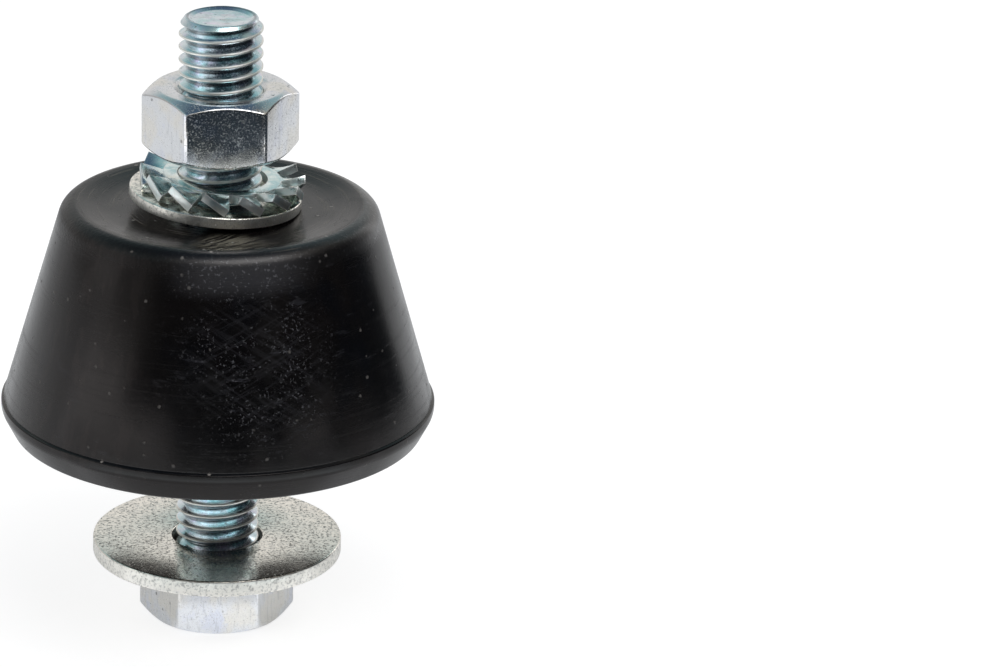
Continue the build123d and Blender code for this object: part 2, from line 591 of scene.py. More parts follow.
def add(tree, kind, inputs=None, **settings):
    """Add a node, set its options, and give its sockets a value or a link each."""
    node = tree.nodes.new(kind)
    for key, value in settings.items():
        setattr(node, key, value)
    for key, value in (inputs or {}).items():
        if isinstance(value, bpy.types.NodeSocket):
            tree.links.new(value, node.inputs[key])
        else:
            node.inputs[key].default_value = value
    return node


def mix(tree, share, first, second):
    """Blend two colours; the colour sockets of a Mix node are its seventh and eighth."""
    return add(tree, "ShaderNodeMix", {0: share, 6: first, 7: second}, data_type="RGBA").outputs[2]


def maths(tree, operation, first, second=0.0, third=0.0, clamp=False):
    """One sum on numbers or on sockets that carry numbers."""
    values = {0: first, 1: second, 2: third}
    return add(tree, "ShaderNodeMath", values, operation=operation, use_clamp=clamp).outputs[0]


def scaled(tree, mask, amount, base):
    """A mask multiplied by an amount, added to a base value."""
    return maths(tree, "MULTIPLY_ADD", mask, amount, base)


def product(tree, *masks):
    """All the masks multiplied: it shows only where each of them does."""
    shared = masks[0]
    for mask in masks[1:]:
        shared = maths(tree, "MULTIPLY", shared, mask)
    return shared


def fade(tree, value, low, high, start=0.0, stop=1.0):
    """Run smoothly from start to stop while a value goes from low to high."""
    inputs = {"Value": value, "From Min": low, "From Max": high, "To Min": start, "To Max": stop}
    return add(tree, "ShaderNodeMapRange", inputs, interpolation_type="SMOOTHSTEP").outputs[0]


def band(tree, value, rise, fall):
    """A mask that comes in over one range of a value and goes out again over a higher one."""
    return product(tree, fade(tree, value, *rise), fade(tree, value, *fall, 1.0, 0.0))


def near(tree, place, spot, inner, outer):
    """A mask round a spot in mm, whole up to the inner distance and gone at the outer one."""
    away = add(tree, "ShaderNodeVectorMath", {0: place, 1: spot}, operation="DISTANCE")
    return fade(tree, away.outputs["Value"], inner, outer, 1.0, 0.0)


def noise(tree, vector, scale, detail=2.0, roughness=0.5):
    inputs = {"Vector": vector, "Scale": scale, "Detail": detail, "Roughness": roughness}
    return add(tree, "ShaderNodeTexNoise", inputs).outputs[0]


def stretched(tree, vector, amounts):
    """The same coordinates multiplied along each axis."""
    inputs = {0: vector, 1: amounts}
    return add(tree, "ShaderNodeVectorMath", inputs, operation="MULTIPLY").outputs[0]


def split(tree, vector):
    """The three parts of a vector."""
    return add(tree, "ShaderNodeSeparateXYZ", {0: vector}).outputs


def off_axis(tree, parts):
    """Distance from the Z axis, from the parts of a place."""
    across = add(tree, "ShaderNodeCombineXYZ", {0: parts[0], 1: parts[1]}).outputs[0]
    return add(tree, "ShaderNodeVectorMath", {0: across}, operation="LENGTH").outputs["Value"]


def millimetres(tree):
    """The place on the piece in mm."""
    place = add(tree, "ShaderNodeTexCoord").outputs["Object"]
    return stretched(tree, place, (1000, 1000, 1000))


# %% [markdown]
# What several finishes need, such as grain or pits, is built once as a node group with named
# sockets. Each finish then places the group and gives it values of its own.

# %% Helpers for node groups


def new_group(name, inputs, outputs):
    """A node group with named sockets; gives back its tree, its inputs and its outputs."""
    tree = bpy.data.node_groups.new(name, "ShaderNodeTree")
    for title, kind, value in inputs:
        socket = tree.interface.new_socket(title, in_out="INPUT", socket_type="NodeSocket" + kind)
        socket.default_value = value
    for title, kind in outputs:
        tree.interface.new_socket(title, in_out="OUTPUT", socket_type="NodeSocket" + kind)
    given = tree.nodes.new("NodeGroupInput").outputs
    result = tree.nodes.new("NodeGroupOutput").inputs
    return tree, given, result


def use(tree, group, inputs):
    """Place a group in a tree, with a value or a link for its inputs, and give its outputs."""
    return add(tree, "ShaderNodeGroup", inputs, node_tree=group).outputs


ORIGIN = (0.0, 0.0, 0.0)
GREY = (0.5, 0.5, 0.5, 1.0)
TONE_TITLES = ("Main Tone", "Second Tone", "Third Tone")
TONE_SOCKETS = [(title, "Color", GREY) for title in TONE_TITLES]


def tones(*colors):
    """Three colours as the inputs of the group that clouds them."""
    return {title: (*color, 1.0) for title, color in zip(TONE_TITLES, colors)}


# %% [markdown]
# Zinc plate isn't one colour: the passivate on it is a film that turns bluish, teal or a warm
# grey from patch to patch. The first group blends three tones by two layers of soft noise.

# %% Group: three tones in clouds
cloud, given, result = new_group("clouded_tone", [
    ("Vector", "Vector", ORIGIN),
    ("Scale", "Float", 0.3),
    *TONE_SOCKETS,
], [("Color", "Color")])
large = noise(cloud, given["Vector"], given["Scale"], 3.0)
shifted = stretched(cloud, given["Vector"], (-1.3, 1.7, 1.1))
small = noise(cloud, shifted, given["Scale"], 5.0, 0.6)
blend = mix(cloud, fade(cloud, large, 0.42, 0.6), given["Main Tone"], given["Second Tone"])
blend = mix(cloud, fade(cloud, small, 0.5, 0.68), blend, given["Third Tone"])
cloud.links.new(blend, result["Color"])

# %% [markdown]
# Grain is the fine roughness that a plated or moulded surface always has, and its highest parts
# are the specks.

# %% Group: fine grain
SPECK_SOFTNESS = 0.08
grain, given, result = new_group("fine_grain", [
    ("Vector", "Vector", ORIGIN),
    ("Scale", "Float", 6.0),
    ("Cutoff", "Float", 0.58),
], [("Height", "Float"), ("Specks", "Float")])
height = noise(grain, given["Vector"], given["Scale"], 3.0, 0.65)
full = maths(grain, "ADD", given["Cutoff"], SPECK_SOFTNESS)
grain.links.new(height, result["Height"])
grain.links.new(fade(grain, height, given["Cutoff"], full), result["Specks"])

# %% [markdown]
# Pits are small holes, one to a Voronoi cell: a cell has a pit only where its own random colour is
# low enough. The coordinates are warped a little first, so that no pit is quite round.

# %% Group: pits
WARP = (0.22, 0.22, 0.22)
pits, given, result = new_group("punched_pits", [
    ("Vector", "Vector", ORIGIN),
    ("Scale", "Float", 3.0),
    ("Share", "Float", 0.2),
], [("Mask", "Float")])
drift = add(pits, "ShaderNodeTexNoise", {"Vector": given["Vector"], "Scale": 4.0}).outputs[1]
moved = add(pits, "ShaderNodeVectorMath", {0: drift, 1: WARP, 2: given["Vector"]},
            operation="MULTIPLY_ADD").outputs[0]
cells = add(pits, "ShaderNodeTexVoronoi", {"Vector": moved, "Scale": given["Scale"]})
chosen = add(pits, "ShaderNodeSeparateColor", {0: cells.outputs["Color"]}).outputs[0]
inside = fade(pits, cells.outputs["Distance"], 0.12, 0.34, 1.0, 0.0)
marked = maths(pits, "LESS_THAN", chosen, given["Share"])
pits.links.new(product(pits, inside, marked), result["Mask"])

# %% [markdown]
# Draw lines are noise pulled long in one direction, as left by rolling, drawing and handling.

# %% Group: draw lines
LINE_SOFTNESS = 0.1
lines, given, result = new_group("draw_lines", [
    ("Vector", "Vector", ORIGIN),
    ("Stretch", "Vector", (5.0, 5.0, 0.4)),
    ("Cutoff", "Float", 0.55),
], [("Height", "Float"), ("Mask", "Float")])
pulled = stretched(lines, given["Vector"], given["Stretch"])
height = noise(lines, pulled, 1.0, 4.0, 0.6)
full = maths(lines, "ADD", given["Cutoff"], LINE_SOFTNESS)
lines.links.new(height, result["Height"])
lines.links.new(fade(lines, height, given["Cutoff"], full), result["Mask"])

# %% [markdown]
# Edges are painted pale: partly bare metal, where plate wears first, partly a painted highlight,
# as a rounded edge catches the light. The Bevel node gives the normal that the surface would have
# with rounder edges: where it leaves the real normal, the point lies near an edge. This works on
# long flat faces too, where a measure kept at the mesh's corners would bleed over the whole face.

# %% Group: worn and highlit edges
edge_wear_and_highlight, given, result = new_group("worn_and_highlit_edges", [
    ("Vector", "Vector", ORIGIN),
    ("Radius", "Float", 0.00025),
], [("Mask", "Float")])
rounder = add(edge_wear_and_highlight, "ShaderNodeBevel", {"Radius": given["Radius"]}, samples=6).outputs[0]
normal = add(edge_wear_and_highlight, "ShaderNodeNewGeometry").outputs["Normal"]
alike = add(edge_wear_and_highlight, "ShaderNodeVectorMath", {0: rounder, 1: normal}, operation="DOT_PRODUCT")
leaning = maths(edge_wear_and_highlight, "SUBTRACT", 1.0, alike.outputs["Value"])
broken = scaled(edge_wear_and_highlight, noise(edge_wear_and_highlight, given["Vector"], 2.5, 3.0), 0.02, leaning)
edge_wear_and_highlight.links.new(fade(edge_wear_and_highlight, broken, 0.02, 0.07), result["Mask"])

# %% [markdown]
# ### Zinc plate
# One group puts the layers of a plated surface together, so that nuts, studs and washers differ
# only in its inputs. Lines, specks and pits each darken the tone and roughen it a little. Grain
# and lines add up to one height, and the pits are taken out of it.

# %% Group: zinc plate
LINE_GREY = (0.3, 0.31, 0.33, 1.0)
SPECK_GREY = (0.2, 0.2, 0.19, 1.0)
PIT_GREY = (0.16, 0.16, 0.16, 1.0)
plate, given, result = new_group("zinc_plate", [
    ("Vector", "Vector", ORIGIN),
    ("Cloud Scale", "Float", 0.3),
    *TONE_SOCKETS,
    ("Line Stretch", "Vector", (5.0, 5.0, 0.4)),
    ("Line Depth", "Float", 0.3),
    ("Grain Scale", "Float", 6.0),
    ("Grain Depth", "Float", 0.5),
    ("Speck Cutoff", "Float", 0.58),
    ("Speck Share", "Float", 0.2),
    ("Speck Roughness", "Float", 0.2),
    ("Pit Scale", "Float", 3.0),
    ("Pit Share", "Float", 0.1),
    ("Pit Depth", "Float", 1.0),
    ("Smooth", "Float", 0.18),
    ("Rough", "Float", 0.34),
], [("Color", "Color"), ("Roughness", "Float"), ("Height", "Float")])
place = given["Vector"]
passed = {title: given[title] for title in TONE_TITLES}
tone = use(plate, cloud, {"Vector": place, "Scale": given["Cloud Scale"], **passed})["Color"]
marks = use(plate, lines, {"Vector": place, "Stretch": given["Line Stretch"]})
passed = {"Scale": given["Grain Scale"], "Cutoff": given["Speck Cutoff"]}
skin = use(plate, grain, {"Vector": place, **passed})
passed = {"Scale": given["Pit Scale"], "Share": given["Pit Share"]}
holes = use(plate, pits, {"Vector": place, **passed})["Mask"]

# %% Colour, roughness and height of the zinc plate
shaded = mix(plate, product(plate, marks["Mask"], 0.16), tone, LINE_GREY)
shaded = mix(plate, product(plate, skin["Specks"], given["Speck Share"]), shaded, SPECK_GREY)
shaded = mix(plate, product(plate, holes, 0.7), shaded, PIT_GREY)
plate.links.new(shaded, result["Color"])

patchy = fade(plate, noise(plate, place, 0.8, 4.0, 0.6), 0.35, 0.7)
spread = maths(plate, "SUBTRACT", given["Rough"], given["Smooth"])
polish = scaled(plate, patchy, spread, given["Smooth"])
polish = scaled(plate, holes, 0.25, polish)
polish = scaled(plate, skin["Specks"], given["Speck Roughness"], polish)
polish = maths(plate, "MULTIPLY_ADD", marks["Mask"], 0.05, polish, clamp=True)
plate.links.new(polish, result["Roughness"])

relief = product(plate, skin["Height"], given["Grain Depth"])
relief = scaled(plate, marks["Height"], given["Line Depth"], relief)
relief = maths(plate, "SUBTRACT", relief, product(plate, holes, given["Pit Depth"]))
plate.links.new(relief, result["Height"])

# %% [markdown]
# Each zinc finish is a Principled shader fed by that group. Its height goes to a Bump node, whose
# distance is the real depth of the marks: a few thousandths of a millimetre. Edges get a pale
# colour, partly bare metal and partly a painted highlight, and faces that stand upright can be
# roughened, as a punch leaves them.

# %% A finish from the zinc plate group
EDGE_DULLING = 0.18
SHEARED_SHARE = 0.5


def new_finish(name):
    """A material with its tree, its Principled shader and its coordinates in mm."""
    material = bpy.data.materials.new(name)
    material.use_nodes = True
    tree = material.node_tree
    return material, tree, tree.nodes["Principled BSDF"], millimetres(tree)


def zinc_finish(name, inputs, bump, edge, edge_size, sheared=0.0):
    """Zinc plate; bump is the depth of its marks and edge_size the width of its pale edges in mm.

    Faces that stand upright are rougher by the amount sheared.
    """
    material, tree, shader, place = new_finish(name)
    layer = use(tree, plate, {"Vector": place, **inputs})
    worn_and_highlit = use(tree, edge_wear_and_highlight, {"Vector": place, "Radius": edge_size * MM})["Mask"]
    # Pale edges: partly worn bare metal, partly a painted highlight.
    color = mix(tree, worn_and_highlit, layer["Color"], edge)
    polish = scaled(tree, worn_and_highlit, EDGE_DULLING, layer["Roughness"])
    if sheared:
        normal = add(tree, "ShaderNodeNewGeometry").outputs["Normal"]
        rise = maths(tree, "ABSOLUTE", split(tree, normal)[2])
        upright = fade(tree, rise, 0.3, 0.65, 1.0, 0.0)
        polish = scaled(tree, upright, sheared, polish)
        color = mix(tree, product(tree, upright, SHEARED_SHARE), color, edge)
    tree.links.new(color, shader.inputs["Base Color"])
    tree.links.new(polish, shader.inputs["Roughness"])
    relief = {"Height": layer["Height"], "Distance": bump * MM, "Strength": 1.0}
    tree.links.new(add(tree, "ShaderNodeBump", relief).outputs["Normal"], shader.inputs["Normal"])
    shader.inputs["Metallic"].default_value = 1.0
    print("finish", name, len(tree.nodes), "nodes")
    return material


# %% Stud finish
BRIGHT_EDGE = (0.93, 0.94, 0.93, 1.0)
stud_finish = zinc_finish("stud_bright_zinc", {
    "Cloud Scale": 0.45,
    **tones((0.76, 0.84, 0.88), (0.54, 0.75, 0.78), (0.79, 0.76, 0.9)),
    "Line Stretch": (1.2, 1.2, 7.0),
    "Line Depth": 0.5,
    "Grain Scale": 5.0,
    "Grain Depth": 0.5,
    "Speck Share": 0.2,
    "Pit Scale": 2.2,
    "Pit Share": 0.06,
    "Pit Depth": 0.8,
    "Smooth": 0.12,
    "Rough": 0.24,
}, bump=0.006, edge=BRIGHT_EDGE, edge_size=0.1)

# %% [markdown]
# A thread's crests are painted pale, a painted highlight, and its roots dark, a painted shade;
# both masks are measured from the stud's axis. The end face has a few dark smears, and the
# chamfer round it is duller.

# %% Painted highlight and shade on the thread, and marks on the stud's end
# The crest colour is a painted highlight and the root colour a painted shade.
CREST_LIT_RADII = (3.8, 3.92)
CREST_PAINTED_HIGHLIGHT = (0.95, 0.93, 0.88, 1.0)
ROOT_PAINTED_SHADE = (0.1, 0.12, 0.14, 1.0)
SMEAR_GREY = (0.3, 0.32, 0.3, 1.0)
tree = stud_finish.node_tree
shader = tree.nodes["Principled BSDF"]
color = shader.inputs["Base Color"].links[0].from_socket
polish = shader.inputs["Roughness"].links[0].from_socket
place = millimetres(tree)
parts = split(tree, place)
radius = off_axis(tree, parts)
# Pale crests are a painted highlight, dark roots a painted shade.
crest = fade(tree, radius, *CREST_LIT_RADII)
root = product(tree, fade(tree, radius, 3.2, 3.42, 0.6, 0.0), fade(tree, radius, 3.0, 3.15))
color = mix(tree, root, color, ROOT_PAINTED_SHADE)
color = mix(tree, crest, color, CREST_PAINTED_HIGHLIGHT)
on_end = fade(tree, parts[2], STUD_END - 0.5, STUD_END - 0.3)
smears = noise(tree, stretched(tree, place, (0.42, 1.3, 0.001)), 1.0, 4.0, 0.6)
inner = fade(tree, radius, 1.2, 2.6, 0.55, 0.1)
smeared = product(tree, fade(tree, smears, 0.5, 0.66), on_end, inner)
tree.links.new(mix(tree, smeared, color, SMEAR_GREY), shader.inputs["Base Color"])
polish = scaled(tree, crest, 0.22, polish)
dull = fade(tree, parts[2], STUD_END - 1.0, STUD_END - 0.8)
dull = product(tree, dull, fade(tree, radius, 3.15, 3.35))
tree.links.new(scaled(tree, dull, 0.12, polish), shader.inputs["Roughness"])

# %% [markdown]
# The nuts are the whitest and smoothest, with fine specks. The washers are matt and pitted, with a
# warm tone. The lock washer's film turns teal, and its sheared teeth have pale edges.

# %% Nut, washer, lock washer and inner plate finishes
nut_finish = zinc_finish("nut_bright_zinc", {
    "Cloud Scale": 0.3,
    **tones((0.8, 0.81, 0.83), (0.82, 0.8, 0.76), (0.74, 0.76, 0.83)),
    "Line Stretch": (3.0, 3.0, 0.5),
    "Line Depth": 0.25,
    "Grain Scale": 6.5,
    "Grain Depth": 0.6,
    "Speck Cutoff": 0.56,
    "Speck Share": 0.1,
    "Speck Roughness": 0.36,
    "Pit Scale": 1.4,
    "Pit Share": 0.05,
    "Pit Depth": 0.6,
    "Smooth": 0.13,
    "Rough": 0.2,
}, bump=0.006, edge=BRIGHT_EDGE, edge_size=0.28)
WARM_EDGE = (0.93, 0.92, 0.88, 1.0)
washer_finish = zinc_finish("washer_dull_zinc", {
    "Cloud Scale": 1.6,
    **tones((0.97, 0.93, 0.84), (0.86, 0.83, 0.76), (0.98, 0.93, 0.83)),
    "Line Stretch": (2.0, 2.0, 3.0),
    "Line Depth": 0.3,
    "Grain Scale": 3.6,
    "Grain Depth": 1.0,
    "Speck Cutoff": 0.52,
    "Speck Share": 0.72,
    "Speck Roughness": 0.2,
    "Pit Scale": 3.4,
    "Pit Share": 0.2,
    "Pit Depth": 1.2,
    "Smooth": 0.1,
    "Rough": 0.22,
}, bump=0.016, edge=WARM_EDGE, edge_size=0.2, sheared=0.24)
lock_finish = zinc_finish("lock_washer_bright_zinc", {
    "Cloud Scale": 0.5,
    **tones((0.86, 0.96, 0.94), (0.5, 0.72, 0.74), (0.94, 0.97, 0.9)),
    "Line Stretch": (6.0, 6.0, 1.0),
    "Line Depth": 0.4,
    "Grain Scale": 4.5,
    "Grain Depth": 0.5,
    "Speck Share": 0.15,
    "Pit Scale": 2.0,
    "Pit Share": 0.05,
    "Pit Depth": 0.5,
    "Smooth": 0.1,
    "Rough": 0.22,
}, bump=0.006, edge=BRIGHT_EDGE, edge_size=0.24, sheared=0.2)
STEEL_EDGE = (0.6, 0.6, 0.6, 1.0)
sealed_finish = zinc_finish("sealed_plate_steel", {
    "Cloud Scale": 0.2,
    **tones((0.42, 0.43, 0.45), (0.36, 0.37, 0.4), (0.46, 0.45, 0.43)),
    "Smooth": 0.3,
    "Rough": 0.45,
}, bump=0.006, edge=STEEL_EDGE, edge_size=0.2, sheared=0.1)

# %% [markdown]
# ### Rubber
# Moulded rubber is nearly black, and what the eye reads is its satin sheen and what has settled on
# it. Marks that follow the mould, such as the swirls in the dish and the streaks down the cone,
# are drawn on wound coordinates: the radius, the angle round the axis and the height.

# %% Rubber: coordinates and layers
RUBBER_TONES = tones((0.0022, 0.002, 0.0022), (0.004, 0.0033, 0.0033), (0.0022, 0.0024, 0.0034))
rubber_finish, tree, shader, place = new_finish("black_moulded_rubber")
parts = split(tree, place)
radius = off_axis(tree, parts)
angle = maths(tree, "ARCTAN2", parts[1], parts[0])
wound = add(tree, "ShaderNodeCombineXYZ", {0: radius, 1: angle, 2: parts[2]}).outputs[0]
color = use(tree, cloud, {"Vector": place, "Scale": 0.09, **RUBBER_TONES})["Color"]
skin = use(tree, grain, {"Vector": place, "Scale": 3.4})
swirls = use(tree, lines, {"Vector": wound, "Stretch": (4.5, 1.1, 2.2), "Cutoff": 0.54})
streaks = use(tree, lines, {"Vector": wound, "Stretch": (0.4, 14.0, 0.22), "Cutoff": 0.5})
scuffs = use(tree, lines, {"Vector": place, "Stretch": (0.32, 0.32, 1.5), "Cutoff": 0.6})
crumbs = use(tree, pits, {"Vector": place, "Scale": 1.5, "Share": 0.05})["Mask"]
normal = add(tree, "ShaderNodeNewGeometry").outputs["Normal"]
level = fade(tree, split(tree, normal)[2], 0.6, 0.9)
on_side = maths(tree, "SUBTRACT", 1.0, level)

# %% [markdown]
# The front of the cone has been handled: round one spot it is dotted grey and wiped in two
# directions. Elsewhere the cone has faint scuffs, and long brownish streaks that are strongest on
# its left side: partly real streaks, partly a painted sheen.

# %% Rubber: marks on the cone
HANDLED_AT = (4.0, -17.5, 32.0)
WIPE_LEANS = (28.0, -33.0)
DOT_GREY = (0.08, 0.082, 0.092, 1.0)
WIPE_GREY = (0.034, 0.034, 0.039, 1.0)
STREAK_AND_SHEEN_BROWN = (0.012, 0.0095, 0.009, 1.0)
SCUFF_GREY = (0.035, 0.036, 0.044, 1.0)
handled = near(tree, place, HANDLED_AT, 3.0, 9.5)
broken = fade(tree, noise(tree, stretched(tree, place, (0.5, 0.5, 0.9)), 1.0, 4.0, 0.7), 0.42, 0.62)
dotted = product(tree, skin["Specks"], broken, scaled(tree, handled, 0.9, 0.06))
color = mix(tree, dotted, color, DOT_GREY)
for lean in WIPE_LEANS:
    rotation = (0.0, math.radians(lean), 0.0)
    tilted = add(tree, "ShaderNodeMapping", {"Vector": place, "Rotation": rotation}).outputs[0]
    wiped = use(tree, lines, {"Vector": tilted, "Stretch": (0.2, 0.2, 2.6), "Cutoff": 0.52})["Mask"]
    color = mix(tree, product(tree, wiped, handled, 0.2), color, WIPE_GREY)
# Brownish streaks, strongest on the left: partly streaks, partly a painted sheen.
left_sheen = fade(tree, parts[0], -11.0, -5.0, 0.6, 0.06)
color = mix(tree, product(tree, streaks["Mask"], on_side, left_sheen), color, STREAK_AND_SHEEN_BROWN)
scuffed = product(tree, scuffs["Mask"], on_side, scaled(tree, handled, 0.45, 0.12))
color = mix(tree, scuffed, color, SCUFF_GREY)

# %% [markdown]
# The dish keeps swirls in patches, partly swirls and partly a painted sheen, a few brushed strokes
# in front of the washer, and dust. Crumbs lie mostly on level rubber, and some stick to the cone.

# %% Rubber: marks in the dish, and dust
BRUSHED_AT = (0.8, -11.4, 41.6)
STROKE_TURN = -47
SWIRL_TAN_AND_SHEEN = (0.1, 0.088, 0.07, 1.0)
STROKE_TAN = (0.15, 0.14, 0.11, 1.0)
DUST_GREY = (0.24, 0.225, 0.21, 1.0)
patchy = fade(tree, noise(tree, place, 0.22, 2.0), 0.45, 0.6, 0.08, 0.55)
# Pale swirls on level rubber: partly swirl marks, partly a painted sheen.
color = mix(tree, product(tree, swirls["Mask"], level, patchy), color, SWIRL_TAN_AND_SHEEN)
rotation = (0.0, 0.0, math.radians(STROKE_TURN))
slanted = add(tree, "ShaderNodeMapping", {"Vector": place, "Rotation": rotation}).outputs[0]
strokes = use(tree, lines, {"Vector": slanted, "Stretch": (0.3, 2.4, 1.0), "Cutoff": 0.46})["Mask"]
in_dish = fade(tree, radius, 13.2, 13.8, 1.0, 0.0)
brushed = product(tree, near(tree, place, BRUSHED_AT, 1.5, 4.6), in_dish, strokes)
color = mix(tree, brushed, color, STROKE_TAN)
dusty = product(tree, crumbs, scaled(tree, level, 0.6, 0.25))
color = mix(tree, dusty, color, DUST_GREY)

# %% [markdown]
# Below the front of the shoulder a grey patch is painted on, a painted highlight that runs on down
# from the shoulder's. The shoulder itself was rubbed until it shines, and a clear coat stands for
# that: its weight is a mask, broken up by the specks.

# %% Rubber: painted highlight below the shoulder, and the shoulder
BELOW_SHOULDER_HIGHLIGHT = (0.095, 0.095, 0.105, 1.0)
# A grey patch painted below the front of the shoulder: a painted highlight.
highlight_height = band(tree, parts[2], (37.6, 39.6), (41.2, 41.8))
highlight_width = band(tree, parts[0], (-6.0, -0.5), (4.0, 10.0))
in_front = fade(tree, parts[1], -11.0, -8.0, 1.0, 0.0)
painted_highlight = product(tree, highlight_height, highlight_width, in_front, scaled(tree, skin["Specks"], 0.65, 0.25))
tree.links.new(mix(tree, painted_highlight, color, BELOW_SHOULDER_HIGHLIGHT), shader.inputs["Base Color"])
shoulder = product(tree, fade(tree, parts[2], 39.4, 40.8), fade(tree, radius, 13.4, 13.9))
rubbed = product(tree, shoulder, fade(tree, parts[0], -7.0, -1.0))
grainy = scaled(tree, skin["Specks"], 0.8, 0.6)
coat = maths(tree, "MULTIPLY", rubbed, grainy, clamp=True)
tree.links.new(coat, shader.inputs["Coat Weight"])
shader.inputs["Coat Roughness"].default_value = 0.3

# %% [markdown]
# Last come the sheen and the relief. Clean rubber is smooth in soft clouds, and each kind of mark
# makes it duller by its own amount.

# %% Rubber: sheen and relief
RELIEF_DEPTH = 0.016
satin = fade(tree, noise(tree, place, 0.16, 4.0, 0.6), 0.35, 0.65, 0.18, 0.26)
blotched = fade(tree, noise(tree, place, 0.35, 4.0, 0.6), 0.42, 0.62)
for mask, amount in (
    (shoulder, 0.1),
    (scuffs["Mask"], 0.06),
    (swirls["Mask"], 0.06),
    (product(tree, handled, blotched), 0.14),
):
    satin = scaled(tree, mask, amount, satin)
satin = maths(tree, "MULTIPLY_ADD", crumbs, 0.3, satin, clamp=True)
tree.links.new(satin, shader.inputs["Roughness"])
relief = product(tree, skin["Height"], scaled(tree, shoulder, 2.4, 0.3))
for height, amount in (
    (swirls["Height"], level),
    (scuffs["Height"], 0.3),
    (streaks["Height"], 0.3),
    (dotted, 2.0),
    (dusty, 3.0),
):
    relief = scaled(tree, height, amount, relief)
bumped = {"Height": relief, "Distance": RELIEF_DEPTH * MM, "Strength": 1.0}
tree.links.new(add(tree, "ShaderNodeBump", bumped).outputs["Normal"], shader.inputs["Normal"])
shader.inputs["Specular Tint"].default_value = (1.0, 0.92, 0.9, 1.0)
shader.inputs["Specular IOR Level"].default_value = 0.3
print("finish", rubber_finish.name, len(tree.nodes), "nodes")

# %% [markdown]
# Every new piece rides on the body that moves it and takes the place of its CAD node. The two
# plates inside the rubber keep their CAD shape.

# %% Give each piece its body, its node and its finish
dressed = [
    (top_stud, "mount", "top_stud", "stud_zinc", stud_finish),
    (base_stud, "mount", "base_stud", "stud_zinc", stud_finish),
    (rubber, "mount", "rubber_body", "rubber", rubber_finish),
    (flat_washer, "mount", "flat_washer", "washer_zinc", washer_finish),
    (lock_washer, "mount", "tooth_lock_washer", "lock_washer_zinc", lock_finish),
    (top_nut, "top_nut", "top_nut", "nut_zinc", nut_finish),
    (lower_nut, "lower_nut", "lower_nut", "nut_zinc", nut_finish),
    (wide_washer, "lower_nut", "wide_washer", "washer_zinc", washer_finish),
]
for piece, body, node, slot, material in dressed:
    piece.data.materials.clear()
    piece.data.materials.append(material)
    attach(piece, body)
    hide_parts(node)
for name in ("base_plate", "top_plate"):
    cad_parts[name].data.materials.clear()
    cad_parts[name].data.materials.append(sealed_finish)

# %% [markdown]
# ## Floor
# The floor is nearly white and keeps the mount's soft shadow. What the camera sees of it is
# lifted a little by Is Camera Ray, so that it runs into the white background. What polished zinc
# and rubber mirror of it is drawn apart, for glossy rays. Places on it are given by their reach
# from the mount in mm and by their bearing in radians, which is 0 in front and grows to the right.

# %% Floor
FLOOR_PALE = (0.88, 0.88, 0.88, 1.0)
FLOOR_SEEN = (0.4, 0.4, 0.4, 1.0)
FLOOR_MIRRORED = (0.62, 0.62, 0.62, 1.0)
FLOOR_LIFT = (0.75, 0.75, 0.75, 1.0)
FLOOR_SIZE = 6000
BLACK = (0.0, 0.0, 0.0, 1.0)
WHITE = (1.0, 1.0, 1.0, 1.0)
floor = add_plane("floor", FLOOR_SIZE)
floor_finish, tree, shader, place = new_finish("pale_floor")
floor.data.materials.append(floor_finish)
rays = add(tree, "ShaderNodeLightPath").outputs
parts = split(tree, place)
ahead = maths(tree, "MULTIPLY", parts[1], -1.0)
reach = add(tree, "ShaderNodeVectorMath", {0: place}, operation="LENGTH").outputs["Value"]
bearing = maths(tree, "ARCTAN2", parts[0], ahead)
turned = maths(tree, "ABSOLUTE", bearing)

# %% [markdown]
# In a studio the side where the camera stands is dark, and polished metal shows that. The
# mirrored floor turns dark about 80 mm in front and to the right, and further out on the left. A
# gap in the dark on the right gives the nut's corner its pale line.

# %% The dark part of the mirrored floor
FLOOR_DARK = (0.03, 0.04, 0.05, 1.0)
front = fade(tree, turned, 0.3, 0.45, 1.0, 0.0)
gap = band(tree, bearing, (0.55, 0.7), (0.95, 1.1))
gap = product(tree, gap, band(tree, reach, (108.0, 118.0), (140.0, 152.0)))
right = band(tree, bearing, (0.3, 0.45), (2.0, 2.2))
right = product(tree, right, maths(tree, "SUBTRACT", 1.0, gap))
near_dark = product(tree, fade(tree, reach, 78.0, 100.0), maths(tree, "MAXIMUM", front, right))
wide = band(tree, bearing, (-1.1, -0.75), (1.75, 2.0))
far_dark = product(tree, fade(tree, reach, 168.0, 190.0), wide)
dark = product(tree, maths(tree, "MAXIMUM", near_dark, far_dark), rays["Is Glossy Ray"])

# %% [markdown]
# The rest of the mirrored floor is painted light: it glows for glossy rays only. It is dim beside
# the mount, a painted shade, and paler just in front of the lower nut, a painted pool of light. It
# glows white in two side strips that the flats and the teeth look at, and bright and bluish
# between 40 and 80 mm, where the threads look.

# %% The pale parts of the mirrored floor
DIM = (0.28, 0.29, 0.3, 1.0)
BY_THE_NUT = (0.6, 0.62, 0.65, 1.0)
BLUISH = (1.15, 1.35, 1.42, 1.0)
bright = mix(tree, band(tree, ahead, (4.0, 7.0), (12.0, 18.0)), DIM, BY_THE_NUT)
strips = band(tree, turned, (0.42, 0.6), (1.35, 1.55))
strips = product(tree, strips, fade(tree, reach, 105.0, 125.0))
bright = mix(tree, strips, bright, WHITE)
patch = band(tree, reach, (38.0, 50.0), (72.0, 84.0))
patch = product(tree, patch, fade(tree, turned, 0.9, 1.3, 1.0, 0.0))
bright = mix(tree, patch, bright, BLUISH)

